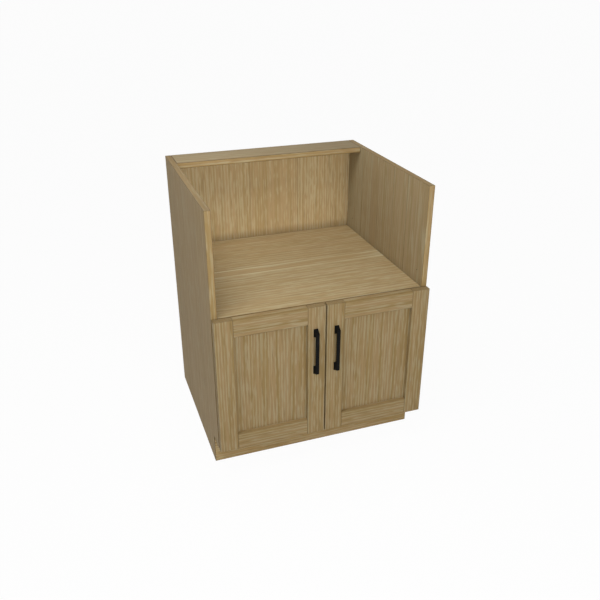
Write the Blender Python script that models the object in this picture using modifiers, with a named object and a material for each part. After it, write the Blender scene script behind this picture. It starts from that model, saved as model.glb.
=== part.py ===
"""Farmhouse sink base cabinet with two shaker doors on concealed cup hinges.

Units are metres. +Z is up, +X is to the right of someone facing the doors and +Y runs to the back.
The origin is on the floor, under the middle of the cabinet's overall box.
"""

from math import cos, pi, radians, sin

import bmesh
import bpy
from mathutils import Matrix, Vector

# Carcass
WIDTH = 0.6858
HEIGHT = 0.8763
CARCASS_DEPTH = 0.600
BOARD_THICKNESS = 0.01905
BACK_THICKNESS = 0.0127
HOUSING_DEPTH = 0.006
DECK_HEIGHT = 0.5545
STRETCHER_DEPTH = 0.108
CLEAT_HEIGHT = 0.038
CLEAT_THICKNESS = 0.019

# Toe kick
TOE_KICK_HEIGHT = 0.1016
TOE_KICK_RECESS = 0.0655
TOE_KICK_FACE_THICKNESS = 0.0064

# Doors
DOOR_THICKNESS = 0.0206
DOOR_GAP = 0.0032
DOOR_SIDE_REVEAL = 0.001
DOOR_CENTRE_GAP = 0.0032
STILE_WIDTH = 0.057
TOP_RAIL_WIDTH = 0.057
BOTTOM_RAIL_WIDTH = 0.057
PANEL_THICKNESS = 0.006
PANEL_BACK_LIP = 0.0026
PANEL_FLOAT = 0.0008
GROOVE_DEPTH = 0.0095
TONGUE_SHOULDER = 0.012
SWING_EDGE_RADIUS = 0.003

# Pulls
PULL_LENGTH = 0.156
PULL_CENTRES = 0.128
PULL_TOP_DROP = 0.073
PULL_INSET = 0.032
PULL_PROJECTION = 0.020
PULL_BAR_WIDTH = 0.010
PULL_BAR_DEPTH = 0.007
PULL_FOOT_WIDTH = 0.014
PULL_END_SLOPE = 0.0075
PULL_FOOT_SLOPE = 0.009
PULL_SCREW_RADIUS = 0.0019
PULL_SCREW_GRIP = 0.009
PULL_SCREW_HEAD_RADIUS = 0.0042
PULL_SCREW_HEAD_HEIGHT = 0.0022

# Bumpers
BUMPER_RADIUS = 0.004
BUMPER_ROUND = 0.0015
BUMPER_INSET = 0.014

# Cup hinges: the pin, the cup that holds it, the swan neck that turns on it and the mounting plate
HINGE_INSET = 0.090
PIN_INSET = 0.009
PIN_DEPTH = 0.009
PIN_RADIUS = 0.0015
PIN_LENGTH = 0.022
CUP_RADIUS = 0.0174
CUP_EDGE_DISTANCE = 0.0035
CUP_FLOOR = 0.0009
CAVITY_WIDTH = 0.018
CAVITY_DEPTH = 0.0105
CAVITY_LENGTH = 0.0205
FLANGE_LENGTH = 0.056
FLANGE_WIDTH = 0.022
FLANGE_THICKNESS = 0.0014
FLANGE_CORNER = 0.007
FLANGE_SCREW_SPACING = 0.045
KNUCKLE_RADIUS = 0.0024
NECK_WIDTH = 0.006
NECK_THICKNESS = 0.0022
NECK_DIP = radians(5)
NECK_BEND = 0.006
NECK_OFFSET = 0.0065
ARM_LENGTH = 0.052
ARM_WIDTH = 0.013
ARM_HEIGHT = 0.0135
ARM_WALL = 0.0014
ARM_SETBACK = 0.002
PLATE_THICKNESS = 0.0022
PLATE_LENGTH = 0.048
PLATE_WIDTH = 0.018
PLATE_CORNER = 0.006
PLATE_SETBACK = 0.037
PLATE_SCREW_SPACING = 0.032
RIDGE_LENGTH = 0.042
WOOD_SCREW_RADIUS = 0.002

# Fits and finish
SEAT_GAP = 0.0003
SCREW_CLEARANCE = 0.0004
RUNNING_CLEARANCE = 0.0006
SWING_CLEARANCE = 0.0012
EASED_EDGE = 0.0007
CUT_MARGIN = 0.005
ROUND_SEGMENTS = 32
SCREW_SEGMENTS = 16
CORNER_SEGMENTS = 5
BEND_SEGMENTS = 8
SMOOTH_ANGLE = radians(40)

# Places that follow from the sizes above
OUTER_X = WIDTH / 2
INNER_X = OUTER_X - BOARD_THICKNESS
BACK_Y = (CARCASS_DEPTH + DOOR_GAP + DOOR_THICKNESS + PULL_PROJECTION) / 2
CARCASS_FRONT_Y = BACK_Y - CARCASS_DEPTH
BACK_PANEL_Y = BACK_Y - BACK_THICKNESS
TOE_FACE_Y = CARCASS_FRONT_Y + TOE_KICK_RECESS
NOTCH_Y = TOE_FACE_Y + TOE_KICK_FACE_THICKNESS + SEAT_GAP
BOTTOM_TOP_Z = TOE_KICK_HEIGHT + BOARD_THICKNESS
DECK_UNDER_Z = DECK_HEIGHT - BOARD_THICKNESS
STRETCHER_UNDER_Z = HEIGHT - BOARD_THICKNESS
CLEAT_TOP_Z = DECK_UNDER_Z - SEAT_GAP
CLEAT_UNDER_Z = CLEAT_TOP_Z - CLEAT_HEIGHT
RAIL_BACK_Y = CARCASS_FRONT_Y + BOARD_THICKNESS
SHELF_BACK_Y = BACK_PANEL_Y - SEAT_GAP
REAR_CLEAT_Y = SHELF_BACK_Y - CLEAT_THICKNESS
DOOR_BACK_Y = CARCASS_FRONT_Y - DOOR_GAP
DOOR_FRONT_Y = DOOR_BACK_Y - DOOR_THICKNESS
DOOR_UNDER_Z = TOE_KICK_HEIGHT
DOOR_TOP_Z = DECK_HEIGHT
DOOR_OUTER_X = OUTER_X - DOOR_SIDE_REVEAL
DOOR_INNER_X = DOOR_CENTRE_GAP / 2
HINGE_STILE_X = DOOR_OUTER_X - STILE_WIDTH
PULL_STILE_X = DOOR_INNER_X + STILE_WIDTH
TOP_RAIL_UNDER_Z = DOOR_TOP_Z - TOP_RAIL_WIDTH
BOTTOM_RAIL_TOP_Z = DOOR_UNDER_Z + BOTTOM_RAIL_WIDTH
PANEL_BACK_Y = DOOR_BACK_Y - PANEL_BACK_LIP
PANEL_FRONT_Y = PANEL_BACK_Y - PANEL_THICKNESS
PIN_X = DOOR_OUTER_X - PIN_INSET
PIN_Y = DOOR_BACK_Y - PIN_DEPTH
CUP_X = DOOR_OUTER_X - CUP_EDGE_DISTANCE - CUP_RADIUS
CUP_UNDER_Y = PIN_Y - KNUCKLE_RADIUS - RUNNING_CLEARANCE - CUP_FLOOR
FLANGE_Y = DOOR_BACK_Y + SEAT_GAP
FLANGE_TOP_Y = FLANGE_Y + FLANGE_THICKNESS
NECK_X = INNER_X - NECK_OFFSET
ARM_TOP_X = INNER_X - ARM_HEIGHT
ARM_FRONT_Y = CARCASS_FRONT_Y + ARM_SETBACK
ARM_BACK_Y = ARM_FRONT_Y + ARM_LENGTH
PLATE_TOP_X = INNER_X - PLATE_THICKNESS
PLATE_Y = CARCASS_FRONT_Y + PLATE_SETBACK
PULL_X = DOOR_INNER_X + PULL_INSET
PULL_BACK_Y = DOOR_FRONT_Y - SEAT_GAP
PULL_FRONT_Y = DOOR_FRONT_Y - PULL_PROJECTION
PULL_BAR_Y = PULL_FRONT_Y + PULL_BAR_DEPTH
PULL_Z = DOOR_TOP_Z - PULL_TOP_DROP - PULL_LENGTH / 2

SIDES = {"left": -1, "right": 1}
ENDS = {"upper": 1, "lower": -1}
HINGE_HEIGHTS = {"upper": DOOR_TOP_Z - HINGE_INSET, "lower": DOOR_UNDER_Z + HINGE_INSET}
BUMPER_HEIGHTS = {"upper": DECK_HEIGHT - BOARD_THICKNESS / 2, "lower": TOE_KICK_HEIGHT + BOARD_THICKNESS / 2}
ALONG_X = Matrix.Rotation(pi / 2, 4, "Y")
ALONG_Y = Matrix.Rotation(-pi / 2, 4, "X")
ALONG_Z = Matrix.Identity(4)


def clear_scene():
    for old in list(bpy.data.objects):
        bpy.data.objects.remove(old, do_unlink=True)


def scene_collection(name):
    collection = bpy.data.collections.new(name)
    bpy.context.scene.collection.children.link(collection)
    return collection


def finish(name, colour, roughness, metallic=0.0):
    material = bpy.data.materials.new(name)
    material.use_nodes = True
    shader = material.node_tree.nodes["Principled BSDF"]
    shader.inputs["Base Color"].default_value = (*colour, 1.0)
    shader.inputs["Roughness"].default_value = roughness
    shader.inputs["Metallic"].default_value = metallic
    material.diffuse_color = (*colour, 1.0)
    return material


clear_scene()
PARTS = scene_collection("farmhouse_sink_base_cabinet")
CUTTERS = scene_collection("cabinet_cutters")
OAK = finish("limed_oak", (0.33, 0.23, 0.095), 0.6)
BIRCH_PLY = finish("birch_ply", (0.52, 0.38, 0.22), 0.65)
BLACK_METAL = finish("black_metal", (0.012, 0.012, 0.013), 0.45, 1.0)
NICKEL = finish("nickel_plate", (0.62, 0.61, 0.58), 0.3, 1.0)
SOFT_PLASTIC = finish("soft_plastic", (0.55, 0.56, 0.55), 0.4)


def new_object(name, shape, centre, collection):
    """Turns a bmesh, drawn about its own middle, into an object at centre."""
    mesh = bpy.data.meshes.new(name)
    shape.to_mesh(mesh)
    shape.free()
    result = bpy.data.objects.new(name, mesh)
    result.location = Vector(centre)
    collection.objects.link(result)
    return result


def add_part(name, shape, centre, material, parent=None):
    part = new_object(name, shape, centre, PARTS)
    part.data.materials.append(material)
    if parent is not None:
        part.parent = parent
        part.location -= parent.location
    return part


def add_cutter(name, shape, centre):
    """A hidden shape that cuts or joins other pieces."""
    cutter = new_object(name, shape, centre, CUTTERS)
    cutter.hide_render = True
    cutter.display_type = "WIRE"
    return cutter


def combine(part, other, operation):
    modifier = part.modifiers.new(f"{operation.lower()}_{other.name}", "BOOLEAN")
    modifier.operation = operation
    modifier.solver = "EXACT"
    modifier.object = other


def cut(part, cutter):
    combine(part, cutter, "DIFFERENCE")


def join(part, other):
    combine(part, other, "UNION")


def ease_edges(part, segments=1):
    modifier = part.modifiers.new("eased_edges", "BEVEL")
    modifier.width = EASED_EDGE
    modifier.segments = segments
    modifier.limit_method = "ANGLE"


def shade_round(part):
    part.data.shade_smooth()
    part.data.set_sharp_from_angle(angle=SMOOTH_ANGLE)


def block(corner, opposite):
    """A cube stretched between two corners, drawn about its own middle, and that middle."""
    low = Vector(min(pair) for pair in zip(corner, opposite))
    high = Vector(max(pair) for pair in zip(corner, opposite))
    shape = bmesh.new()
    bmesh.ops.create_cube(shape, size=1.0)
    bmesh.ops.scale(shape, vec=high - low, verts=shape.verts)
    return shape, (low + high) / 2


def round_edges(shape, edges, radius):
    bmesh.ops.bevel(
        shape,
        geom=edges,
        offset=radius,
        offset_type="OFFSET",
        segments=CORNER_SEGMENTS,
        profile=0.5,
        affect="EDGES",
        material=-1,
    )


def edges_along(shape, axis):
    """The edges of a block that run along one axis, 0 for X to 2 for Z."""
    return [edge for edge in shape.edges if edge.verts[0].co[axis] * edge.verts[1].co[axis] < 0]


def board(name, corner, opposite, material=OAK, parent=None):
    part = add_part(name, *block(corner, opposite), material, parent)
    ease_edges(part)
    return part


def box_cutter(name, corner, opposite):
    return add_cutter(name, *block(corner, opposite))


def rod(radius, length, along, segments=ROUND_SEGMENTS):
    shape = bmesh.new()
    bmesh.ops.create_cone(
        shape, cap_ends=True, segments=segments, radius1=radius, radius2=radius, depth=length, matrix=along
    )
    return shape


def rod_cutter(name, radius, length, along, centre, segments=ROUND_SEGMENTS):
    return add_cutter(name, rod(radius, length, along, segments), centre)


def turned(name, profile, centre, material, parent):
    """A turned piece on an axis along +Y, from (radius, height) points down its outer side."""
    shape = bmesh.new()
    points = [shape.verts.new((radius, 0.0, height)) for radius, height in profile]
    for pair in zip(points, points[1:]):
        shape.edges.new(pair)
    part = add_part(name, shape, centre, material, parent)
    part.rotation_euler = ALONG_Y.to_euler()
    modifier = part.modifiers.new("turn", "SCREW")
    modifier.steps = SCREW_SEGMENTS
    modifier.render_steps = SCREW_SEGMENTS
    modifier.use_merge_vertices = True
    modifier.merge_threshold = 0.00001


def joint_axis(name, place):
    """An empty on a joint's axis, which carries the pieces that turn about it."""
    axis = bpy.data.objects.new(name, None)
    axis.location = place
    PARTS.objects.link(axis)
    return axis


def side_panel(name, side):
    """A full-height side, notched for the toe kick and housed for the bottom and the back."""
    panel = board(
        f"{name}_side_panel", (side * OUTER_X, CARCASS_FRONT_Y, 0.0), (side * INNER_X, BACK_Y, HEIGHT)
    )
    notch = box_cutter(
        f"{name}_toe_notch",
        (side * (OUTER_X + CUT_MARGIN), CARCASS_FRONT_Y - CUT_MARGIN, -CUT_MARGIN),
        (side * (INNER_X - CUT_MARGIN), NOTCH_Y, TOE_KICK_HEIGHT),
    )
    cut(panel, notch)
    housed_x = side * (INNER_X + HOUSING_DEPTH + SEAT_GAP)
    open_x = side * (INNER_X - CUT_MARGIN)
    housing = box_cutter(
        f"{name}_bottom_housing",
        (housed_x, CARCASS_FRONT_Y - CUT_MARGIN, TOE_KICK_HEIGHT - SEAT_GAP),
        (open_x, BACK_PANEL_Y, BOTTOM_TOP_Z + SEAT_GAP),
    )
    cut(panel, housing)
    rabbet = box_cutter(
        f"{name}_back_rabbet",
        (housed_x, BACK_PANEL_Y - SEAT_GAP, TOE_KICK_HEIGHT - SEAT_GAP),
        (open_x, BACK_Y + CUT_MARGIN, STRETCHER_UNDER_Z),
    )
    cut(panel, rabbet)


def housed_boards():
    """The bottom and the back, whose ends sit in the housings of the sides."""
    end_x = INNER_X + HOUSING_DEPTH
    back_top_z = STRETCHER_UNDER_Z - SEAT_GAP
    board("bottom_panel", (-end_x, CARCASS_FRONT_Y, TOE_KICK_HEIGHT), (end_x, SHELF_BACK_Y, BOTTOM_TOP_Z))
    board("back_panel", (-end_x, BACK_PANEL_Y, TOE_KICK_HEIGHT), (end_x, BACK_Y, back_top_z))


def boards_between_sides():
    """The rear stretcher, the sink deck and the rail and cleats under it, which fit between the sides."""
    end_x = INNER_X - SEAT_GAP
    board("rear_stretcher", (-end_x, BACK_Y - STRETCHER_DEPTH, STRETCHER_UNDER_Z), (end_x, BACK_Y, HEIGHT))
    board("sink_deck", (-end_x, CARCASS_FRONT_Y, DECK_UNDER_Z), (end_x, SHELF_BACK_Y, DECK_HEIGHT))
    board("deck_front_rail", (-end_x, CARCASS_FRONT_Y, CLEAT_UNDER_Z), (end_x, RAIL_BACK_Y, CLEAT_TOP_Z))
    board(
        "rear_deck_cleat",
        (-end_x, REAR_CLEAT_Y, CLEAT_UNDER_Z),
        (end_x, SHELF_BACK_Y, CLEAT_TOP_Z),
        BIRCH_PLY,
    )
    for name, side in SIDES.items():
        board(
            f"{name}_deck_cleat",
            (side * end_x, RAIL_BACK_Y + SEAT_GAP, CLEAT_UNDER_Z),
            (side * (end_x - CLEAT_THICKNESS), REAR_CLEAT_Y - SEAT_GAP, CLEAT_TOP_Z),
            BIRCH_PLY,
        )


def toe_kick():
    """A thin face over the front edges of the notches, on a board between the sides."""
    end_x = INNER_X - SEAT_GAP
    top_z = TOE_KICK_HEIGHT - SEAT_GAP
    face_back_y = TOE_FACE_Y + TOE_KICK_FACE_THICKNESS
    board("toe_kick_face", (-OUTER_X, TOE_FACE_Y, 0.0), (OUTER_X, face_back_y, top_z))
    board("toe_kick_backer", (-end_x, NOTCH_Y, 0.0), (end_x, NOTCH_Y + BOARD_THICKNESS, top_z), BIRCH_PLY)


def groove_cutter(name, corner, opposite):
    """A groove for the door panel and the tongues of the rails, between two corners in X and Z."""
    front_y, back_y = PANEL_FRONT_Y - SEAT_GAP, PANEL_BACK_Y + SEAT_GAP
    return box_cutter(name, (corner[0], front_y, corner[1]), (opposite[0], back_y, opposite[1]))


def cut_stile_groove(stile, side, edge_x, inward):
    """Cuts the stopped groove along a stile's inner edge, which faces inward, 1 for away from the middle."""
    groove = groove_cutter(
        f"{stile.name}_groove",
        (side * (edge_x - inward * (GROOVE_DEPTH + SEAT_GAP)), DOOR_UNDER_Z + TONGUE_SHOULDER - SEAT_GAP),
        (side * (edge_x + inward * CUT_MARGIN), DOOR_TOP_Z - TONGUE_SHOULDER + SEAT_GAP),
    )
    cut(stile, groove)


def hinge_stile(name, side, axis):
    """The outer stile, rounded along the back edge that passes close to the side as the door swings."""
    shape, middle = block(
        (side * HINGE_STILE_X, DOOR_FRONT_Y, DOOR_UNDER_Z), (side * DOOR_OUTER_X, DOOR_BACK_Y, DOOR_TOP_Z)
    )
    swing_edge = [
        edge for edge in edges_along(shape, 2) if edge.verts[0].co.x * side > 0 and edge.verts[0].co.y > 0
    ]
    round_edges(shape, swing_edge, SWING_EDGE_RADIUS)
    stile = add_part(f"{name}_door_hinge_stile", shape, middle, OAK, axis)
    ease_edges(stile)
    cut_stile_groove(stile, side, HINGE_STILE_X, -1)
    return stile


def pull_stile(name, side, axis):
    stile = board(
        f"{name}_door_pull_stile",
        (side * DOOR_INNER_X, DOOR_FRONT_Y, DOOR_UNDER_Z),
        (side * PULL_STILE_X, DOOR_BACK_Y, DOOR_TOP_Z),
        parent=axis,
    )
    cut_stile_groove(stile, side, PULL_STILE_X, 1)
    return stile


def rail(name, side, axis, edge_z, far_z, inward):
    """A rail with a stub tongue at each end and a groove for the panel along the edge that faces inward."""
    groove_z = edge_z - inward * (GROOVE_DEPTH + SEAT_GAP)
    part = board(
        name,
        (side * (HINGE_STILE_X - SEAT_GAP), DOOR_FRONT_Y, edge_z),
        (side * (PULL_STILE_X + SEAT_GAP), DOOR_BACK_Y, far_z),
        parent=axis,
    )
    tongue = box_cutter(
        f"{name}_tongue",
        (side * (HINGE_STILE_X + GROOVE_DEPTH), PANEL_FRONT_Y, groove_z + inward * GROOVE_DEPTH / 2),
        (side * (PULL_STILE_X - GROOVE_DEPTH), PANEL_BACK_Y, far_z + inward * TONGUE_SHOULDER),
    )
    join(part, tongue)
    groove = groove_cutter(
        f"{name}_groove",
        (side * (HINGE_STILE_X + GROOVE_DEPTH + CUT_MARGIN), groove_z),
        (side * (PULL_STILE_X - GROOVE_DEPTH - CUT_MARGIN), edge_z + inward * CUT_MARGIN),
    )
    cut(part, groove)


def door_panel(name, side, axis):
    """The recessed panel, which floats in the grooves of the frame."""
    hold = GROOVE_DEPTH - PANEL_FLOAT
    board(
        f"{name}_door_panel",
        (side * (HINGE_STILE_X + hold), PANEL_FRONT_Y, BOTTOM_RAIL_TOP_Z - hold),
        (side * (PULL_STILE_X - hold), PANEL_BACK_Y, TOP_RAIL_UNDER_Z + hold),
        parent=axis,
    )


def pull(name, side, axis, stile):
    """A slim bar on two flared feet, with a screw through the stile into each foot."""
    centre_x = side * PULL_X
    bar_half = PULL_LENGTH / 2 - PULL_END_SLOPE
    bar = block(
        (centre_x - PULL_BAR_WIDTH / 2, PULL_FRONT_Y, PULL_Z - bar_half),
        (centre_x + PULL_BAR_WIDTH / 2, PULL_BAR_Y, PULL_Z + bar_half),
    )
    part = add_part(f"{name}_door_pull", *bar, BLACK_METAL, axis)
    for end, up in ENDS.items():
        join(part, pull_foot(f"{name}_{end}_pull_foot", centre_x, up))
    ease_edges(part, segments=2)

    shank_end_y = PULL_BACK_Y - PULL_SCREW_GRIP
    hole_end_y = shank_end_y - SCREW_CLEARANCE
    hole_length = DOOR_BACK_Y + CUT_MARGIN - hole_end_y
    head_y = DOOR_BACK_Y + SEAT_GAP
    for end, up in ENDS.items():
        screw_z = PULL_Z + up * PULL_CENTRES / 2
        hole = rod_cutter(
            f"{name}_{end}_pull_hole",
            PULL_SCREW_RADIUS + SCREW_CLEARANCE,
            hole_length,
            ALONG_Y,
            (centre_x, hole_end_y + hole_length / 2, screw_z),
            SCREW_SEGMENTS,
        )
        cut(part, hole)
        cut(stile, hole)
        profile = (
            (0.0, PULL_SCREW_HEAD_HEIGHT),
            (PULL_SCREW_HEAD_RADIUS - EASED_EDGE, PULL_SCREW_HEAD_HEIGHT),
            (PULL_SCREW_HEAD_RADIUS, PULL_SCREW_HEAD_HEIGHT - EASED_EDGE),
            (PULL_SCREW_HEAD_RADIUS, 0.0),
            (PULL_SCREW_RADIUS, 0.0),
            (PULL_SCREW_RADIUS, shank_end_y - head_y),
            (0.0, shank_end_y - head_y),
        )
        turned(f"{name}_{end}_pull_screw", profile, (centre_x, head_y, screw_z), NICKEL, axis)


def pull_foot(name, centre_x, up):
    """A foot as wide as its base on the door, narrowing to the bar, with sloped ends."""
    height = PULL_LENGTH - PULL_CENTRES
    bar_height = height - PULL_END_SLOPE - PULL_FOOT_SLOPE
    middle_z = PULL_Z + up * PULL_CENTRES / 2
    shape, middle = block(
        (centre_x - PULL_FOOT_WIDTH / 2, PULL_BACK_Y, middle_z - height / 2),
        (centre_x + PULL_FOOT_WIDTH / 2, PULL_BAR_Y - PULL_BAR_DEPTH / 2, middle_z + height / 2),
    )
    bar_end = [vert for vert in shape.verts if vert.co.y < 0]
    bmesh.ops.scale(shape, vec=(PULL_BAR_WIDTH / PULL_FOOT_WIDTH, 1.0, bar_height / height), verts=bar_end)
    bmesh.ops.translate(shape, vec=(0.0, 0.0, up * (PULL_FOOT_SLOPE - PULL_END_SLOPE) / 2), verts=bar_end)
    return add_cutter(name, shape, middle)


def bumpers(name, side, axis):
    """Soft stops at the free corners of a door, which meet the edges of the deck and the bottom."""
    height = DOOR_GAP - 2 * SEAT_GAP
    profile = (
        (0.0, height),
        (BUMPER_RADIUS - BUMPER_ROUND, height),
        (BUMPER_RADIUS, height - BUMPER_ROUND),
        (BUMPER_RADIUS, 0.0),
        (0.0, 0.0),
    )
    for end, centre_z in BUMPER_HEIGHTS.items():
        place = (side * (DOOR_INNER_X + BUMPER_INSET), DOOR_BACK_Y + SEAT_GAP, centre_z)
        turned(f"{name}_{end}_bumper", profile, place, SOFT_PLASTIC, axis)


def hinge_cup(name, side, axis, stile, centre_z):
    """A round cup let into the stile, with a screwed flange, a cavity and a slot that holds the pin."""
    centre_x = side * CUP_X
    cup = add_part(
        f"{name}_hinge_cup",
        rod(CUP_RADIUS, FLANGE_TOP_Y - CUP_UNDER_Y, ALONG_Y),
        (centre_x, (FLANGE_TOP_Y + CUP_UNDER_Y) / 2, centre_z),
        NICKEL,
        axis,
    )
    flange, middle = block(
        (centre_x - FLANGE_WIDTH / 2, FLANGE_Y, centre_z - FLANGE_LENGTH / 2),
        (centre_x + FLANGE_WIDTH / 2, FLANGE_TOP_Y, centre_z + FLANGE_LENGTH / 2),
    )
    round_edges(flange, edges_along(flange, 1), FLANGE_CORNER)
    join(cup, add_cutter(f"{name}_flange", flange, middle))

    mouth_y = FLANGE_TOP_Y + CUT_MARGIN
    slot_half = NECK_WIDTH / 2 + RUNNING_CLEARANCE
    slot = box_cutter(
        f"{name}_slot",
        (side * (PIN_X + KNUCKLE_RADIUS + SWING_CLEARANCE), CUP_UNDER_Y + CUP_FLOOR, centre_z - slot_half),
        (side * (NECK_X - NECK_THICKNESS / 2 - SWING_CLEARANCE), mouth_y, centre_z + slot_half),
    )
    cut(cup, slot)
    cavity_x = PIN_X - KNUCKLE_RADIUS - SWING_CLEARANCE
    cavity = box_cutter(
        f"{name}_cavity",
        (side * cavity_x, DOOR_BACK_Y - CAVITY_DEPTH, centre_z - CAVITY_WIDTH / 2),
        (side * (cavity_x - CAVITY_LENGTH), mouth_y, centre_z + CAVITY_WIDTH / 2),
    )
    cut(cup, cavity)
    pin_hole = rod_cutter(
        f"{name}_cup_pin_hole",
        PIN_RADIUS + SEAT_GAP,
        2 * CUP_RADIUS,
        ALONG_Z,
        (side * PIN_X, PIN_Y, centre_z),
        SCREW_SEGMENTS,
    )
    cut(cup, pin_hole)
    for end, up in ENDS.items():
        screw_hole = rod_cutter(
            f"{name}_flange_{end}_hole",
            WOOD_SCREW_RADIUS,
            2 * CUT_MARGIN,
            ALONG_Y,
            (centre_x, FLANGE_Y, centre_z + up * FLANGE_SCREW_SPACING / 2),
            SCREW_SEGMENTS,
        )
        cut(cup, screw_hole)

    bore_under_y = CUP_UNDER_Y - SEAT_GAP
    bore_length = DOOR_BACK_Y + CUT_MARGIN - bore_under_y
    bore = rod_cutter(
        f"{name}_cup_bore",
        CUP_RADIUS + SEAT_GAP,
        bore_length,
        ALONG_Y,
        (centre_x, bore_under_y + bore_length / 2, centre_z),
    )
    cut(stile, bore)


def hinge_pin(name, side, axis, centre_z):
    shape = rod(PIN_RADIUS, PIN_LENGTH, ALONG_Z, SCREW_SEGMENTS)
    pin = add_part(f"{name}_hinge_pin", shape, (side * PIN_X, PIN_Y, centre_z), NICKEL, axis)
    shade_round(pin)


def neck_line(side):
    """The swan neck's middle line from the pin to the arm: a dip, a bend and a straight."""
    straight = (PIN_X - NECK_X - NECK_BEND * (1 + sin(NECK_DIP))) / cos(NECK_DIP)
    bend_x = PIN_X - straight * cos(NECK_DIP) - NECK_BEND * sin(NECK_DIP)
    bend_y = PIN_Y - straight * sin(NECK_DIP) + NECK_BEND * cos(NECK_DIP)
    line = [(PIN_X, PIN_Y)]
    for step in range(BEND_SEGMENTS + 1):
        heading = (pi / 2 + NECK_DIP) * step / BEND_SEGMENTS - NECK_DIP
        line.append((bend_x - NECK_BEND * sin(heading), bend_y - NECK_BEND * cos(heading)))
    line.append((NECK_X, ARM_FRONT_Y + ARM_WALL / 2))
    return [(side * x, y) for x, y in line]


def swan_neck(name, side, centre_z):
    """The bent strip between the pin and the arm, as a ribbon along its middle line given a thickness."""
    ribbon = bmesh.new()
    line = [ribbon.verts.new((x, y, -NECK_WIDTH / 2)) for x, y in neck_line(side)]
    edges = [ribbon.edges.new(pair) for pair in zip(line, line[1:])]
    extruded = bmesh.ops.extrude_edge_only(ribbon, edges=edges)["geom"]
    far_edge = [item for item in extruded if isinstance(item, bmesh.types.BMVert)]
    bmesh.ops.translate(ribbon, vec=(0.0, 0.0, NECK_WIDTH), verts=far_edge)
    neck = add_cutter(name, ribbon, (0.0, 0.0, centre_z))
    thickness = neck.modifiers.new("thickness", "SOLIDIFY")
    thickness.thickness = NECK_THICKNESS
    thickness.offset = 0.0
    thickness.use_even_offset = True
    return neck


def hinge_arm(name, side, centre_z):
    """A channel over the mounting plate's ridge, drawn out into a swan neck with a knuckle on the pin."""
    foot_x = PLATE_TOP_X - SEAT_GAP
    channel = block(
        (side * ARM_TOP_X, ARM_FRONT_Y, centre_z - ARM_WIDTH / 2),
        (side * foot_x, ARM_BACK_Y, centre_z + ARM_WIDTH / 2),
    )
    arm = add_part(f"{name}_hinge_arm", *channel, NICKEL)
    ease_edges(arm)
    hollow_half = ARM_WIDTH / 2 - ARM_WALL
    hollow = box_cutter(
        f"{name}_arm_hollow",
        (side * (ARM_TOP_X + ARM_WALL), ARM_FRONT_Y + ARM_WALL, centre_z - hollow_half),
        (side * (foot_x + CUT_MARGIN), ARM_BACK_Y + CUT_MARGIN, centre_z + hollow_half),
    )
    cut(arm, hollow)
    join(arm, swan_neck(f"{name}_neck", side, centre_z))
    pin_place = (side * PIN_X, PIN_Y, centre_z)
    join(arm, rod_cutter(f"{name}_knuckle", KNUCKLE_RADIUS, NECK_WIDTH, ALONG_Z, pin_place))
    pin_hole = rod_cutter(
        f"{name}_knuckle_hole", PIN_RADIUS + SEAT_GAP, 2 * NECK_WIDTH, ALONG_Z, pin_place, SCREW_SEGMENTS
    )
    cut(arm, pin_hole)


def mounting_plate(name, side, centre_z):
    """A plate screwed to the side panel, with a ridge that the arm sits over."""
    face_x = INNER_X - SEAT_GAP
    wing, middle = block(
        (side * face_x, PLATE_Y - PLATE_WIDTH / 2, centre_z - PLATE_LENGTH / 2),
        (side * PLATE_TOP_X, PLATE_Y + PLATE_WIDTH / 2, centre_z + PLATE_LENGTH / 2),
    )
    round_edges(wing, edges_along(wing, 0), PLATE_CORNER)
    plate = add_part(f"{name}_hinge_plate", wing, middle, NICKEL)
    ridge_half = ARM_WIDTH / 2 - ARM_WALL - SEAT_GAP
    ridge = box_cutter(
        f"{name}_plate_ridge",
        (side * face_x, ARM_BACK_Y - RIDGE_LENGTH, centre_z - ridge_half),
        (side * (ARM_TOP_X + ARM_WALL + SEAT_GAP), ARM_BACK_Y, centre_z + ridge_half),
    )
    join(plate, ridge)
    for end, up in ENDS.items():
        screw_hole = rod_cutter(
            f"{name}_plate_{end}_hole",
            WOOD_SCREW_RADIUS,
            2 * CUT_MARGIN,
            ALONG_X,
            (side * PLATE_TOP_X, PLATE_Y, centre_z + up * PLATE_SCREW_SPACING / 2),
            SCREW_SEGMENTS,
        )
        cut(plate, screw_hole)


def door(name, side):
    """A framed door on two cup hinges, with its pull and bumpers."""
    axis = joint_axis(f"{name}_door_axis", (side * PIN_X, PIN_Y, 0.0))
    outer = hinge_stile(name, side, axis)
    inner = pull_stile(name, side, axis)
    rail(f"{name}_door_top_rail", side, axis, TOP_RAIL_UNDER_Z, DOOR_TOP_Z, -1)
    rail(f"{name}_door_bottom_rail", side, axis, BOTTOM_RAIL_TOP_Z, DOOR_UNDER_Z, 1)
    door_panel(name, side, axis)
    pull(name, side, axis, inner)
    bumpers(name, side, axis)
    for end, centre_z in HINGE_HEIGHTS.items():
        hinge = f"{name}_{end}"
        hinge_cup(hinge, side, axis, outer, centre_z)
        hinge_pin(hinge, side, axis, centre_z)
        hinge_arm(hinge, side, centre_z)
        mounting_plate(hinge, side, centre_z)


housed_boards()
boards_between_sides()
toe_kick()
for side_name, side_sign in SIDES.items():
    side_panel(side_name, side_sign)
    door(side_name, side_sign)
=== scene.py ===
from math import pi, radians

import bmesh
import bpy
from mathutils import Matrix, Vector


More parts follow.
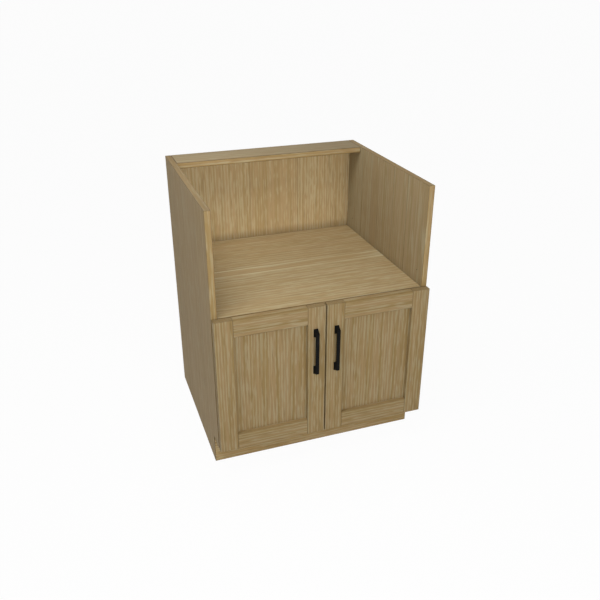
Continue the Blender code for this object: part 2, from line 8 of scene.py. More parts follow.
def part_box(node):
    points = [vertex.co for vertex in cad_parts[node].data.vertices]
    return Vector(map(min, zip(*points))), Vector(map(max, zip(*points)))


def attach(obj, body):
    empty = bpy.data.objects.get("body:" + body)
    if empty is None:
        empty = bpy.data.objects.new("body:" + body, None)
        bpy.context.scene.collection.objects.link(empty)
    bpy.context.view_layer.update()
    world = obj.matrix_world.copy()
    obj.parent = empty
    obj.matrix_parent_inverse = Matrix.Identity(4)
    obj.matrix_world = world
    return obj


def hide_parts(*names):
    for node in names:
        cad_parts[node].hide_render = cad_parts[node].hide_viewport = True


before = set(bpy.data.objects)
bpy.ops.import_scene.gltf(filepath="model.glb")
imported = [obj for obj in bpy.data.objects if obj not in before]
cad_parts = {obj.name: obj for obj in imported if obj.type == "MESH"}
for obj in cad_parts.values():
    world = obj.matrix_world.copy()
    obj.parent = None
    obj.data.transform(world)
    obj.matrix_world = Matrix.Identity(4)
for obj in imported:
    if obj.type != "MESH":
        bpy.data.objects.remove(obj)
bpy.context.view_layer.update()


# Side panels: two full-height boards faced with limed oak leaves laid upright, lipped with oak on
# every edge and notched at the foot. The bottom and the back are housed in them.


class Wire:
    """An output socket of a finish. Sums on it add Math nodes, and node() adds a node of any kind."""

    def __init__(self, socket):
        self.socket = socket

    def node(self, kind, settings, values, output=0):
        tree = self.socket.id_data
        made = tree.nodes.new(f"ShaderNode{kind}")
        for setting, value in settings.items():
            setattr(made, setting, value)
        for name, value in values.items():
            if isinstance(value, Wire):
                tree.links.new(value.socket, made.inputs[name])
            else:
                made.inputs[name].default_value = value
        return Wire(made.outputs[output])

    def other(self, output):
        return Wire(self.socket.node.outputs[output])

    def into(self, socket):
        self.socket.id_data.links.new(self.socket, socket)

    def sum(self, operation, first, second):
        return self.node("Math", {"operation": operation}, {0: first, 1: second})

    def __add__(self, other):
        return self.sum("ADD", self, other)

    def __mul__(self, other):
        return self.sum("MULTIPLY", self, other)

    def __sub__(self, other):
        return self.sum("SUBTRACT", self, other)

    def __rsub__(self, other):
        return self.sum("SUBTRACT", other, self)

    def __gt__(self, other):
        return self.sum("GREATER_THAN", self, other)

    __radd__ = __add__
    __rmul__ = __mul__


def start_finish(name):
    """A new material, its shader, and wires for the place on a piece and the way its surface faces."""
    finish = bpy.data.materials.new(name)
    finish.use_nodes = True
    coordinates = finish.node_tree.nodes.new("ShaderNodeTexCoord")
    shader = finish.node_tree.nodes["Principled BSDF"]
    return finish, shader, Wire(coordinates.outputs["Object"]), Wire(coordinates.outputs["Normal"])


def dress(node, finish):
    """Puts a finish on a CAD node in place of the one that it came with."""
    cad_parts[node].data.materials.clear()
    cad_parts[node].data.materials.append(finish)


def rise(value, start, end):
    """0 up to start, 1 from end on, and a smooth step between them."""
    smooth = {"interpolation_type": "SMOOTHSTEP"}
    return value.node("MapRange", smooth, {"Value": value, "From Min": start, "From Max": end})


def blend(mask, first, second):
    return mask.node("Mix", {"data_type": "RGBA"}, {0: mask, 6: first, 7: second}, 2)


def scaled(vector, factors):
    return vector.node("VectorMath", {"operation": "MULTIPLY"}, {0: vector, 1: factors})


def cloud(vector, scales, detail, roughness=0.5):
    """Noise over a place, with its own number of features to the metre on each axis."""
    values = {"Vector": scaled(vector, scales), "Scale": 1.0, "Detail": detail, "Roughness": roughness}
    return vector.node("TexNoise", {}, values)


def parts(vector):
    first = vector.node("SeparateXYZ", {}, {"Vector": vector})
    return first, first.other(1), first.other(2)


AXES = "XYZ"


def along(vector, axis):
    return parts(vector)[AXES.index(axis)]


def size_along(vector, axis):
    return along(vector.node("VectorMath", {"operation": "ABSOLUTE"}, {0: vector}), axis)


def distance(value, start):
    gap = value - start
    return gap.sum("ABSOLUTE", gap, 0.0)


def edge_distance(place, node):
    """The distance from a point of a board's surface to the nearest edge of the board's box."""
    low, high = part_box(node)
    subtract = {"operation": "SUBTRACT"}
    from_middle = place.node("VectorMath", subtract, {0: place, 1: (low + high) / 2})
    spread = place.node("VectorMath", {"operation": "ABSOLUTE"}, {0: from_middle})
    x, y, z = parts(place.node("VectorMath", subtract, {0: (high - low) / 2, 1: spread}))
    nearer, farther = x.sum("MINIMUM", x, y), x.sum("MAXIMUM", x, y)
    return x.sum("MAXIMUM", nearer, x.sum("MINIMUM", farther, z))


def add_bump(shader, height, strength, depth):
    bump = height.node("Bump", {}, {"Strength": strength, "Distance": depth, "Height": height})
    bump.into(shader.inputs["Normal"])


# The oak's colours
OAK_GOLD = (0.290, 0.194, 0.074, 1.0)
OAK_TAN = (0.332, 0.226, 0.104, 1.0)
OAK_BROWN = (0.185, 0.118, 0.043, 1.0)
OAK_END = (0.240, 0.166, 0.074, 1.0)
LIME_PALE = (0.425, 0.378, 0.235, 1.0)
# A grey-white film on broad faces, partly lime and partly a painted sheen
LIME_FILM_AND_SHEEN = (0.265, 0.275, 0.225, 1.0)
# Brown of the glaze on edges and in seams, also used as painted shade in the bay's inner corners
GLAZE_AND_SHADE_BROWN = (0.085, 0.058, 0.026, 1.0)

# How the log is turned to lie along an axis, and how far apart its boards and leaves are cut
TURNS = {"X": (0.0, pi / 2, 0.0), "Y": (-pi / 2, 0.0, 0.0), "Z": (0.0, 0.0, 0.0)}
BOARD_STEP = (1.71, 2.37, 3.13)
LEAF_STEP = (0.37, 0.61, 0.83)
DRIFT_REACH = (0.005, 0.005, 0.0)
RING_SLOPE = (0.82, 0.57, 0.0)
RINGS_TO_METRE = 120.0

# Features to the metre, twice across the grain and then along it
DRIFT = (3.0, 3.0, 1.6)
PATCHES = (18.0, 18.0, 2.0)
RING_WAVES = (20.0, 20.0, 1.0)
LINE_BREAKS = (40.0, 40.0, 5.0)
LENSES = (75.0, 75.0, 6.0)
WARM_BANDS = (110.0, 110.0, 2.6)
PORES = (1300.0, 1300.0, 34.0)

# How squarely a surface faces an axis before it counts as a face or as end grain
FACE_ON = (0.5, 0.8)
END_ON = (0.55, 0.85)

# Widths of the glaze that stays on edges and in seams
EDGE_GLAZE = (0.0006, 0.0022)
SEAM_CORE = 0.0004
SEAM_LINE = (GLAZE_AND_SHADE_BROWN, 0.0022, 0.5)


def limed_oak(node, grain, seed, across="X", seams=(), limes=(1.0,), origin=(0.0, 0.0, 0.0), lipped=None,
              tone=1.0, top=1.0, dash=20.0, film_and_sheen=0.0, glaze=0.7, line=SEAM_LINE, inside=None, painted_corner_shades=()):
    """Gives a board limed oak with its grain along an axis.

    Seams part it into leaves on the axis across, each with its own share of lime and a line of a colour,
    width and share between them. Lipped is the grain of a lipping that covers its ends. Tone is its
    brightness. On some boards it is set partly as painted light or shade for how much light reaches them.
    Top scales what faces up, a painted light or shade on top faces for how the light falls on them. Dash is
    how often its flecks end along the grain, film the grey-white wash on its broad faces, partly lime left
    on them and partly a painted sheen, and glaze what stays on its edges. The corner shades are painted
    shade, glaze brown laid on the face named inside near an inner corner: an axis, the corner's place on
    it, a reach and a share.
    """
    finish, shader, place, facing = start_finish(f"{node}_limed_oak")
    end = rise(size_along(facing, grain), *END_ON)

    cut_from = tuple(start + step * seed for start, step in zip(origin, BOARD_STEP))
    mapping = {"vector_type": "TEXTURE"}
    board = {"Vector": place, "Location": cut_from}
    log = place.node("Mapping", mapping, {**board, "Rotation": TURNS[grain]})
    if lipped:
        lipping = place.node("Mapping", mapping, {**board, "Rotation": TURNS[lipped]})
        log = place.node("Mix", {"data_type": "VECTOR"}, {0: end, 4: log, 5: lipping}, 1)
    veneered = 1.0 - end * (1.0 if lipped else 0.0)
    line_colour, line_width, line_share = line
    leaf, lime, joint = (end.sum("ADD", start, 0.0) for start in (seed, limes[0], 0.0))
    for seam, before, after in zip(seams, limes, limes[1:]):
        past = (along(place, across) > seam) * veneered
        leaf = leaf + past
        lime = lime + past * (after - before)
        off_seam = distance(along(place, across), seam)
        joint = joint + (1.0 - rise(off_seam, SEAM_CORE, line_width)) * veneered
    apart = {name: leaf * step for name, step in zip(AXES, LEAF_STEP)}
    apart = place.node("CombineXYZ", {}, apart)
    log = log.node("VectorMath", {"operation": "ADD"}, {0: log, 1: apart})
    drift = cloud(log, DRIFT, 1.0).other(1)
    log = log.node("VectorMath", {"operation": "MULTIPLY_ADD"}, {0: drift, 1: DRIFT_REACH, 2: log})

    vessel = cloud(log, (240.0, 240.0, dash * 0.2), 1.0)
    fleck = cloud(log, (110.0, 110.0, dash), 1.0)
    fibre = cloud(log, (420.0, 420.0, dash * 0.9), 1.0)
    streak = cloud(log, (170.0, 170.0, dash * 0.3), 2.0)
    patch = cloud(log, PATCHES, 2.0)
    lens = rise(cloud(log, LENSES, 1.0) - lime * 0.2, 0.50, 0.60)
    slope = log.node("VectorMath", {"operation": "DOT_PRODUCT"}, {0: log, 1: RING_SLOPE}, 1)
    rings = slope * RINGS_TO_METRE + cloud(log, RING_WAVES, 1.0) * 2.4
    early = rings.sum("PINGPONG", rings, 0.5) * 2.0
    pore = rise(cloud(log, PORES, 1.0), 0.56, 0.66)

    warm = rise(cloud(log, WARM_BANDS, 2.0), 0.36, 0.64)
    colour = blend(warm, OAK_GOLD, OAK_TAN)
    dark = 1.0 - rise(fibre * 0.55 + streak * 0.45, 0.34, 0.50)
    colour = blend(dark * (0.25 + 0.2 * lime), colour, OAK_BROWN)
    limed = rise(vessel * 0.4 + fleck * 0.42 + early * 0.2 + fibre * 0.28 + lime * 0.2, 0.83, 0.94)
    limed = limed.sum("MAXIMUM", limed, lens * 1.2) * (0.36 + 0.25 * pore)
    colour = blend(limed, colour, LIME_PALE)
    # The film is a grey-white wash on broad faces: partly lime left on them, partly a painted sheen.
    if film_and_sheen:
        low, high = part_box(node)
        thin = min(AXES, key=lambda axis: (high - low)[AXES.index(axis)])
        colour = blend(rise(size_along(facing, thin), *FACE_ON) * film_and_sheen, colour, LIME_FILM_AND_SHEEN)
    broken = 0.4 + 0.6 * rise(cloud(log, LINE_BREAKS, 1.0), 0.42, 0.58)
    colour = blend(joint * broken * line_share, colour, line_colour)
    # Tone and, on faces turned up, top paint light and shade into the colour; the patches are the wood's
    # own.
    shade = (0.96 + patch * 0.06) * tone * (1.0 + rise(along(facing, "Z"), *FACE_ON) * (top - 1.0))
    colour = scaled(colour, shade.node("CombineXYZ", {}, {"X": shade, "Y": shade, "Z": shade}))
    colour = blend(end * (0.3 if lipped else 0.7), colour, OAK_END)
    edge = 1.0 - rise(edge_distance(place, node), *EDGE_GLAZE)
    colour = blend(edge * glaze, colour, GLAZE_AND_SHADE_BROWN)
    # Painted shade: glaze brown darkens the inside face near each listed inner corner, where shade falls.
    for axis, corner, reach, share in painted_corner_shades:
        inside_axis, inside_way = inside
        faced = rise(along(facing, inside_axis) * inside_way, *FACE_ON)
        painted_corner_shade = 1.0 - rise(distance(along(place, axis), corner), 0.0, reach)
        colour = blend(painted_corner_shade * faced * share, colour, GLAZE_AND_SHADE_BROWN)
    colour.into(shader.inputs["Base Color"])

    rough = 0.6 + streak * 0.14 + limed * 0.08
    rough.into(shader.inputs["Roughness"])
    shader.inputs["Specular IOR Level"].default_value = 0.2
    add_bump(shader, fibre * 0.35 - pore * 0.5 + early * 0.15, 0.22, 0.0004)
    dress(node, finish)


DECK_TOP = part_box("sink_deck")[1].z
# Painted shade on the sides' inner faces just above the deck.
SIDE_PAINTED_SHADES = (("Z", DECK_TOP, 0.03, 0.16),)
# Their top settings paint shade on the left side's top edge and light on the right side's.
limed_oak(
    "left_side_panel", "Z", 0.31, "Y", (-0.13, 0.06, 0.2), (0.7, 0.8, 0.65, 0.8), lipped="Y",
    tone=0.935, top=0.84, film_and_sheen=0.06, glaze=0.4, inside=("X", 1.0), painted_corner_shades=SIDE_PAINTED_SHADES,
)
limed_oak(
    "right_side_panel", "Z", 0.47, "Y", (-0.15, -0.055, 0.057, 0.110, 0.19), (0.55, 0.7, 0.8, 0.4, 1.2, 1.7),
    lipped="Y", tone=1.0, top=1.12, film_and_sheen=0.2, glaze=0.4, inside=("X", -1.0), painted_corner_shades=SIDE_PAINTED_SHADES,
)


# Support pins: short blackened steel pins in drilled holes, two to a side a little above the deck, which
# are left for the battens that steady a sink.
PIN_RADIUS = 0.0013
PIN_REACH = 0.0012
PIN_ROUND = 0.0004
PIN_STEPS = 16
PIN_HEIGHT = 0.597
PIN_PLACES = {"front": -0.2446, "rear": 0.2600}
PIN_BLACK = (0.020, 0.017, 0.013, 1.0)
PIN_BROWN = (0.060, 0.046, 0.030, 1.0)
BLOOM = (900.0, 900.0, 900.0)
pin_finish, shader, place, _ = start_finish("pin_blackened_steel")
bloom = cloud(place, BLOOM, 3.0)
blend(rise(bloom, 0.4, 0.7), PIN_BLACK, PIN_BROWN).into(shader.inputs["Base Color"])
rough = 0.42 + bloom * 0.25
rough.into(shader.inputs["Roughness"])
add_bump(shader, bloom, 0.15, 0.0001)
for side, face_x, inward in (
    ("left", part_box("left_side_panel")[1].x, 1.0),
    ("right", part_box("right_side_panel")[0].x, -1.0),
):
    for end, pin_y in PIN_PLACES.items():
        shape = bmesh.new()
        middle = Matrix.Translation((face_x + inward * PIN_REACH / 2, pin_y, PIN_HEIGHT))
        lie = middle @ Matrix.Rotation(inward * pi / 2, 4, "Y")
        size = {"radius1": PIN_RADIUS, "radius2": PIN_RADIUS, "depth": PIN_REACH}
        bmesh.ops.create_cone(shape, cap_ends=True, segments=PIN_STEPS, matrix=lie, **size)
        proud = {v for v in shape.verts if (v.co.x - face_x) * inward > PIN_REACH / 2}
        rim = [edge for edge in shape.edges if proud.issuperset(edge.verts)]
        bmesh.ops.bevel(
            shape, geom=rim, offset=PIN_ROUND, affect="EDGES", segments=2, profile=0.5, material=-1
        )
        mesh = bpy.data.meshes.new(f"{side}_{end}_support_pin")
        shape.to_mesh(mesh)
        shape.free()
        mesh.materials.append(pin_finish)
        pin = bpy.data.objects.new(mesh.name, mesh)
        bpy.context.scene.collection.objects.link(pin)
        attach(pin, "carcass")


# Bottom and back: oak-faced boards let into housings in the sides. The bottom's leaves run from
# side to side, and the back's run upright in three leaves of uneven width.
BAY_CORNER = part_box("right_side_panel")[0].x
# Painted shade on the back's face along the deck and along both inner corners of the bay.
BACK_PAINTED_SHADES = (
    ("Z", DECK_TOP, 0.035, 0.42),
    ("X", -BAY_CORNER, 0.025, 0.16),
    ("X", BAY_CORNER, 0.025, 0.16),
)
limed_oak("bottom_panel", "X", 0.59, "Y", (-0.12, 0.11), (0.6, 0.7, 0.5))
# The back's high tone is partly its paler boards and partly painted light that makes up for the shade inside
# the bay.
limed_oak(
    "back_panel", "Z", 0.23, "X", (-0.056, 0.123), (1.1, 0.75, 1.1),
    tone=1.45, dash=24.0, film_and_sheen=0.1, inside=("Y", -1.0), painted_corner_shades=BACK_PAINTED_SHADES,
)


# Rear stretcher: a flat oak board across the top of the back, glued between the sides. The cabinet
# is screwed to the wall through it.
limed_oak("rear_stretcher", "X", 0.71, limes=(0.8,), tone=1.03, film_and_sheen=0.22, glaze=0.8)


# Sink deck and its front rail: a panel with leaves from side to side that carries the sink, laid on
# cleats, with a solid oak rail under its front edge.
DECK_LINE = (LIME_PALE, 0.0055, 1.0)
# The deck's high tone is partly its paler board and partly painted light that makes up for the shade inside
# the bay.
limed_oak(
    "sink_deck", "X", 0.83, "Y", (-0.009, 0.035), (0.95, 0.2, 0.85), tone=1.40, film_and_sheen=0.14, line=DECK_LINE
)
limed_oak("deck_front_rail", "X", 0.97)


# Cleats and toe-kick backer: bare birch plywood strips, glued and screwed where they don't show, the
# cleats under the deck and the backer behind the toe-kick face.
BIRCH = (0.56, 0.42, 0.26, 1.0)
BIRCH_DARK = (0.40, 0.27, 0.14, 1.0)
PLY_GLUE = (0.24, 0.15, 0.08, 1.0)
PLY_LAYER = 0.0014
PLY_ARRIS = (0.0004, 0.0018)
BIRCH_FIGURE = (34.0, 34.0, 2.4)
BIRCH_FIBRES = (700.0, 700.0, 30.0)


def birch_ply(node, thin, grain):
    """Birch plywood: faint grain on the faces, and layers across the thin axis on the edges."""
    finish, shader, place, facing = start_finish(f"{node}_birch_ply")
    face = rise(size_along(facing, thin), *FACE_ON)
    mapping = {"vector_type": "TEXTURE"}
    log = place.node("Mapping", mapping, {"Vector": place, "Rotation": TURNS[grain]})
    figure = cloud(log, BIRCH_FIGURE, 3.0)
    fibre = cloud(log, BIRCH_FIBRES, 1.0)
    layer = along(place, thin) * (0.5 / PLY_LAYER)
    crossed = layer.sum("FRACT", layer, 0.0) > 0.5
    glue = 1.0 - rise(layer.sum("FRACT", layer * 2.0, 0.0), 0.04, 0.14)
    faced = blend(rise(figure * 0.75 + fibre * 0.25, 0.42, 0.68), BIRCH, BIRCH_DARK)
    edges = blend(crossed * (0.5 + 0.4 * fibre), BIRCH, BIRCH_DARK)
    edges = blend(glue * 0.8, edges, PLY_GLUE)
    colour = blend(face, edges, faced)
    arris = 1.0 - rise(edge_distance(place, node), *PLY_ARRIS)
    blend(arris * 0.25, colour, PLY_GLUE).into(shader.inputs["Base Color"])
    rough = 0.58 + fibre * 0.16
    rough.into(shader.inputs["Roughness"])
    add_bump(shader, fibre * 0.6 - glue * (1.0 - face) * 0.5, 0.2, 0.0003)
    dress(node, finish)


birch_ply("rear_deck_cleat", "Y", "X")
birch_ply("left_deck_cleat", "X", "Y")
birch_ply("right_deck_cleat", "X", "Y")
birch_ply("toe_kick_backer", "Y", "X")


# Toe-kick face: a thin oak strip with its grain from side to side, pinned and glued over the front
# edges of the notches and the backer.
# Its tone is raised a little as painted light against the shade under the doors.
limed_oak("toe_kick_face", "X", 1.09, tone=1.06)


# Doors: frames of solid oak, stiles upright between which the rails are tongued, and a thin oak panel
# that floats in their grooves. Both doors are cut from one lot, so they carry the same figure.
# The doors' tone is lowered as painted shade on their well-lit fronts, and top lightens their top faces as
# painted light.
DOOR_FINISH = {"tone": 0.80, "top": 1.28, "glaze": 0.45}
for door, left_stile, right_stile in (("left", "hinge", "pull"), ("right", "pull", "hinge")):
    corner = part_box(f"{door}_door_{left_stile}_stile")[0]
    for board, grain, seed in (
        (f"{left_stile}_stile", "Z", 1.21),
        (f"{right_stile}_stile", "Z", 1.33),
        ("top_rail", "X", 1.45),
        ("bottom_rail", "X", 1.57),
        ("panel", "Z", 1.69),
    ):
        limed_oak(f"{door}_door_{board}", grain, seed, origin=corner, **DOOR_FINISH)


# Pulls: slim cast bars on two flared feet, with a matt black powder coat, each held by two machine
# screws from the back of the stile.
COAT_BLACK = (0.0030, 0.0030, 0.0030, 1.0)
COAT_GREY = (0.0075, 0.0075, 0.0078, 1.0)
COAT_PEEL = (1500.0, 1500.0, 1500.0)
COAT_RUBS = (60.0, 60.0, 25.0)
pull_coat, shader, place, _ = start_finish("pull_black_coat")
peel = cloud(place, COAT_PEEL, 2.0)
rub = cloud(place, COAT_RUBS, 3.0)
blend(rise(rub, 0.5, 0.75), COAT_BLACK, COAT_GREY).into(shader.inputs["Base Color"])
rough = 0.46 + rub * 0.14 + peel * 0.06
rough.into(shader.inputs["Roughness"])
shader.inputs["Specular IOR Level"].default_value = 0.06
add_bump(shader, peel, 0.25, 0.0002)
for door in ("left", "right"):
    dress(f"{door}_door_pull", pull_coat)


# Pull screws: nickel-plated machine screws with pan heads and cross recesses, which pass through the
# stile into the feet of the pull.
NICKEL_PALE = (0.66, 0.64, 0.60, 1.0)
NICKEL_DULL = (0.46, 0.44, 0.40, 1.0)
NICKEL_CLOUDS = (160.0, 160.0, 160.0)
NICKEL_SCRATCHES = (900.0, 60.0, 2600.0)
nickel, shader, place, _ = start_finish("nickel_plating")
dulled = rise(cloud(place, NICKEL_CLOUDS, 4.0, 0.6), 0.42, 0.72)
scratch = cloud(place, NICKEL_SCRATCHES, 2.0)
blend(dulled, NICKEL_PALE, NICKEL_DULL).into(shader.inputs["Base Color"])
shader.inputs["Metallic"].default_value = 1.0
rough = 0.22 + dulled * 0.14 + scratch * 0.08
rough.into(shader.inputs["Roughness"])
add_bump(shader, scratch, 0.08, 0.0002)

ROUND_STEPS = 24
SMOOTH_ANGLE = radians(35)
CROWN_SHARE = 0.72
CROSS_SHARE = 0.55
CROSS_ARM_SHARE = 0.3
CROSS_DEPTH_SHARE = 0.55
CROSS_TAPER = 0.6
DOOR_BODIES = {"left": "left_door", "right": "right_door"}


def screw(name, body, place, facing, head_radius, head_height, shank_radius, shank_length):
    """A pan-head screw whose head sits at place and faces along facing, with a cross recess."""
    shape = bmesh.new()
    top = Matrix.Translation((0.0, 0.0, head_height))
    crown_radius = head_radius * CROWN_SHARE
    bmesh.ops.create_grid(shape, x_segments=3, y_segments=3, size=head_radius * CROSS_SHARE, matrix=top)
    reach = head_radius * CROSS_ARM_SHARE
    corners = [face for face in shape.faces if min(map(abs, face.calc_center_median()[:2])) > reach]
    bmesh.ops.delete(shape, geom=corners, context="FACES")
    cross = shape.faces[:]
    outline = [edge for edge in shape.edges if edge.is_boundary]
    circle = bmesh.ops.create_circle(shape, segments=ROUND_STEPS, radius=crown_radius, matrix=top)
    ring = [edge for edge in shape.edges if edge.verts[0] in circle["verts"]]
    bmesh.ops.triangle_fill(shape, edges=outline + ring, use_beauty=True)
    sunk = bmesh.ops.extrude_face_region(shape, geom=cross)["geom"]
    bmesh.ops.delete(shape, geom=cross, context="FACES")
    floor_verts = [item for item in sunk if isinstance(item, bmesh.types.BMVert)]
    bmesh.ops.translate(shape, vec=(0.0, 0.0, -head_height * CROSS_DEPTH_SHARE), verts=floor_verts)
    bmesh.ops.scale(shape, vec=(CROSS_TAPER, CROSS_TAPER, 1.0), verts=floor_verts)

    radius, height = crown_radius, head_height
    outside = (
        (head_radius * 0.92, head_height * 0.82),
        (head_radius, head_height * 0.5),
        (head_radius, 0.0),
        (shank_radius, 0.0),
        (shank_radius, -shank_length),
    )
    for next_radius, next_height in outside:
        drawn = bmesh.ops.extrude_edge_only(shape, edges=ring)["geom"]
        verts = [item for item in drawn if isinstance(item, bmesh.types.BMVert)]
        ring = [item for item in drawn if isinstance(item, bmesh.types.BMEdge)]
        bmesh.ops.scale(shape, vec=(next_radius / radius, next_radius / radius, 1.0), verts=verts)
        bmesh.ops.translate(shape, vec=(0.0, 0.0, next_height - height), verts=verts)
        radius, height = next_radius, next_height
    bmesh.ops.contextual_create(shape, geom=ring)
    bmesh.ops.recalc_face_normals(shape, faces=shape.faces)
    turn = Vector((0.0, 0.0, 1.0)).rotation_difference(Vector(facing)).to_matrix().to_4x4()
    bmesh.ops.transform(shape, matrix=Matrix.Translation(place) @ turn, verts=shape.verts)
    # Extruding makes its faces in no fixed order, so they are put in one.
    for index, face in enumerate(sorted(shape.faces, key=lambda face: face.calc_center_median()[:])):
        face.index = index
    shape.faces.sort()

    mesh = bpy.data.meshes.new(name)
    shape.to_mesh(mesh)
    shape.free()
    mesh.shade_smooth()
    mesh.set_sharp_from_angle(angle=SMOOTH_ANGLE)
    mesh.materials.append(nickel)
    piece = bpy.data.objects.new(name, mesh)
    bpy.context.scene.collection.objects.link(piece)
    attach(piece, body)
    return piece


BACKWARD = (0.0, 1.0, 0.0)
PULL_HEAD_HEIGHT = 0.0022
PULL_SCREW = {"head_radius": 0.0042, "head_height": PULL_HEAD_HEIGHT, "shank_radius": 0.0019}
for door, body in DOOR_BODIES.items():
    for end in ("upper", "lower"):
        low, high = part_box(f"{door}_{end}_pull_screw")
        middle = (low + high) / 2
        seat = (middle.x, high.y - PULL_HEAD_HEIGHT, middle.z)
        length = high.y - PULL_HEAD_HEIGHT - low.y
        name = f"{door}_{end}_machine_screw"
        pull_screw = screw(name, body, seat, BACKWARD, **PULL_SCREW, shank_length=length)
        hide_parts(f"{door}_{end}_pull_screw")


# Bumpers: clear soft plastic buttons stuck to the free corners of the doors, which meet the edges of
# the deck and the bottom as the doors close.
BUMPER_GREY = (0.62, 0.63, 0.61, 1.0)
BUMPER_PALE = (0.74, 0.74, 0.71, 1.0)
BUMPER_HAZE = (420.0, 420.0, 420.0)
bumper_plastic, shader, place, _ = start_finish("bumper_soft_plastic")
haze = cloud(place, BUMPER_HAZE, 3.0)
blend(rise(haze, 0.35, 0.7), BUMPER_GREY, BUMPER_PALE).into(shader.inputs["Base Color"])
rough = 0.34 + haze * 0.2
rough.into(shader.inputs["Roughness"])
shader.inputs["Transmission Weight"].default_value = 0.35
for door in ("left", "right"):
    for end in ("upper", "lower"):
        dress(f"{door}_{end}_bumper", bumper_plastic)


# Cup hinges: pressed steel cups let into the stiles, and arms that bend in a swan neck from the cup's
# pin to a plate on the side, all nickel-plated. Wood screws hold the cups and the plates, and each arm
# is set on its plate by two small screws.
FLANGE_SCREW_SPACING = 0.045
PLATE_SCREW_SPACING = 0.032
PLATE_SETBACK = 0.037
PLATE_THICKNESS = 0.0022
ARM_SCREW_INSETS = {"front": 0.013, "rear": 0.041}
SHANK_RADIUS = 0.0017
CUP_SCREW = {
    "head_radius": 0.0034, "head_height": 0.0009, "shank_radius": SHANK_RADIUS, "shank_length": 0.0013,
}
PLATE_SCREW = {
    "head_radius": 0.0036, "head_height": 0.0016, "shank_radius": SHANK_RADIUS, "shank_length": 0.0018,
}
ARM_SCREW = {
    "head_radius": 0.0031, "head_height": 0.0012, "shank_radius": SHANK_RADIUS, "shank_length": 0.001,
}
carcass_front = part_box("left_side_panel")[0].y
inner_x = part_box("right_side_panel")[0].x
for door, body in DOOR_BODIES.items():
    inward = 1.0 if door == "left" else -1.0
    into_bay = (inward, 0.0, 0.0)
    for end in ("upper", "lower"):
        hinge = f"{door}_{end}"
        for piece in ("cup", "pin", "arm", "plate"):
            dress(f"{hinge}_hinge_{piece}", nickel)
        cup_low, cup_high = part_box(f"{hinge}_hinge_cup")
        cup_x, cup_z = (cup_low.x + cup_high.x) / 2, (cup_low.z + cup_high.z) / 2
        arm_low, arm_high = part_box(f"{hinge}_hinge_arm")
        arm_top_x = arm_high.x if door == "left" else arm_low.x
        plate_top_x = -inward * (inner_x - PLATE_THICKNESS)
        for step, up in (("top", 0.5), ("bottom", -0.5)):
            flange_seat = (cup_x, cup_high.y, cup_z + up * FLANGE_SCREW_SPACING)
            screw(f"{hinge}_cup_{step}_screw", body, flange_seat, BACKWARD, **CUP_SCREW)
            plate_seat = (plate_top_x, carcass_front + PLATE_SETBACK, cup_z + up * PLATE_SCREW_SPACING)
            screw(f"{hinge}_plate_{step}_screw", "carcass", plate_seat, into_bay, **PLATE_SCREW)
        for step, inset in ARM_SCREW_INSETS.items():
            arm_seat = (arm_top_x, carcass_front + inset, cup_z)
            screw(f"{hinge}_arm_{step}_screw", "carcass", arm_seat, into_bay, **ARM_SCREW)


# Studio: a pale floor and backdrop that show white to the camera, soft lamps in front, at the left and
# above with two small ones for the sink's bay, and a camera where the photograph was taken from.
FLOOR_REACH = 60.0
PAPER_GREY = (0.86, 0.86, 0.86, 1.0)
PAPER_WHITE_SHARE = 0.96
SKY_PLAIN = 0.12
SKY_RIGHT = 0.28
SKY_BACK = 0.4
CABINET_MIDDLE = (0.0, 0.0, 0.5)
PHOTO_WIDTH = 600
FOCAL_PIXELS = 683.94
CAMERA_PLACE = (-0.67201, -1.96805, 1.46270)
CAMERA_TURN = (radians(63.595), 0.0, radians(-19.45))
scene = bpy.context.scene
scene.view_settings.view_transform = "Standard"


def white_to_camera(tree, share):
    """How far a surface shows plain white: its share for camera, mirror and glass rays, 0 for light."""
    rays = Wire(tree.nodes.new("ShaderNodeLightPath").outputs["Is Camera Ray"])
    seen = rays.sum("MAXIMUM", rays, rays.other("Is Glossy Ray"))
    return rays.sum("MAXIMUM", seen, rays.other("Is Transmission Ray")) * share


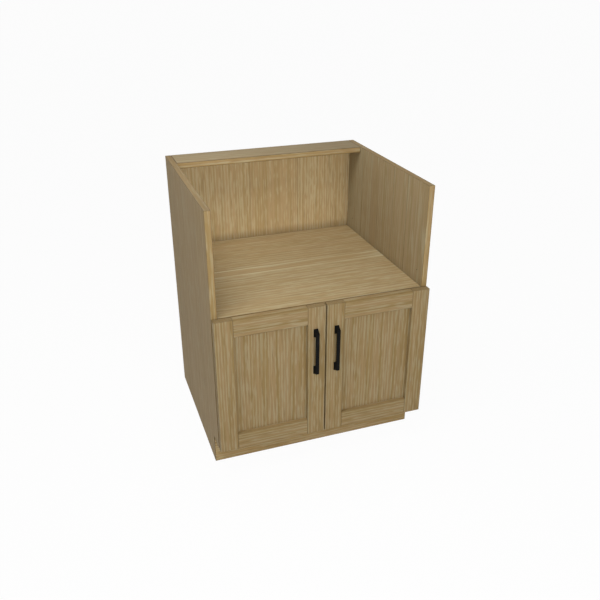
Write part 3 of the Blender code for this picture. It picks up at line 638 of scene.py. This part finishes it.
plane = bmesh.new()
bmesh.ops.create_grid(plane, x_segments=1, y_segments=1, size=FLOOR_REACH)
floor_mesh = bpy.data.meshes.new("studio_floor")
plane.to_mesh(floor_mesh)
plane.free()
floor = bpy.data.objects.new("studio_floor", floor_mesh)
scene.collection.objects.link(floor)
paper = bpy.data.materials.new("studio_paper")
paper.use_nodes = True
matt = paper.node_tree.nodes["Principled BSDF"]
matt.inputs["Base Color"].default_value = PAPER_GREY
matt.inputs["Roughness"].default_value = 0.9
white = paper.node_tree.nodes.new("ShaderNodeEmission")
seen = white_to_camera(paper.node_tree, PAPER_WHITE_SHARE)
shown = seen.node("MixShader", {}, {0: seen, 1: Wire(matt.outputs[0]), 2: Wire(white.outputs[0])})
shown.into(paper.node_tree.nodes["Material Output"].inputs["Surface"])
floor_mesh.materials.append(paper)

world = bpy.data.worlds.new("studio_light")
world.use_nodes = True
scene.world = world
sky = world.node_tree.nodes["Background"]
way = Wire(world.node_tree.nodes.new("ShaderNodeTexCoord").outputs["Generated"])
from_right, from_back, _ = parts(way)
level = SKY_PLAIN + SKY_RIGHT * rise(from_right, 0.2, 1.0) + SKY_BACK * rise(from_back, 0.2, 1.0)
seen = white_to_camera(world.node_tree, 1.0)
level = level + seen * (1.0 - level)
level.into(sky.inputs["Strength"])
sky.inputs["Color"].default_value = (1.0, 1.0, 1.0, 1.0)


def lamp(name, place, target, size, power):
    light = bpy.data.lights.new(name, "AREA")
    light.shape = "DISK"
    light.size = size
    light.energy = power
    thing = bpy.data.objects.new(name, light)
    thing.location = place
    thing.rotation_euler = (Vector(target) - Vector(place)).to_track_quat("-Z", "Y").to_euler()
    thing.visible_camera = False
    scene.collection.objects.link(thing)


lamp("front_light", (0.2, -3.2, 1.05), CABINET_MIDDLE, 1.6, 48.0)
lamp("bay_light", (-0.45, -1.1, 1.05), (0.2, 0.3, 0.75), 0.5, 2.4)
lamp("deck_light", (-0.3, 0.0, 1.4), (0.15, 0.15, 0.65), 0.4, 1.9)
lamp("left_light", (-2.7, -1.5, 1.5), CABINET_MIDDLE, 1.6, 14.0)
lamp("over_light", (-0.9, -0.8, 2.8), CABINET_MIDDLE, 1.2, 20.5)

camera_data = bpy.data.cameras.new("photo_camera")
camera_data.sensor_width = 36.0
camera_data.lens = FOCAL_PIXELS / PHOTO_WIDTH * camera_data.sensor_width
camera = bpy.data.objects.new("photo_camera", camera_data)
camera.location = CAMERA_PLACE
camera.rotation_euler = CAMERA_TURN
scene.collection.objects.link(camera)
scene.camera = camera
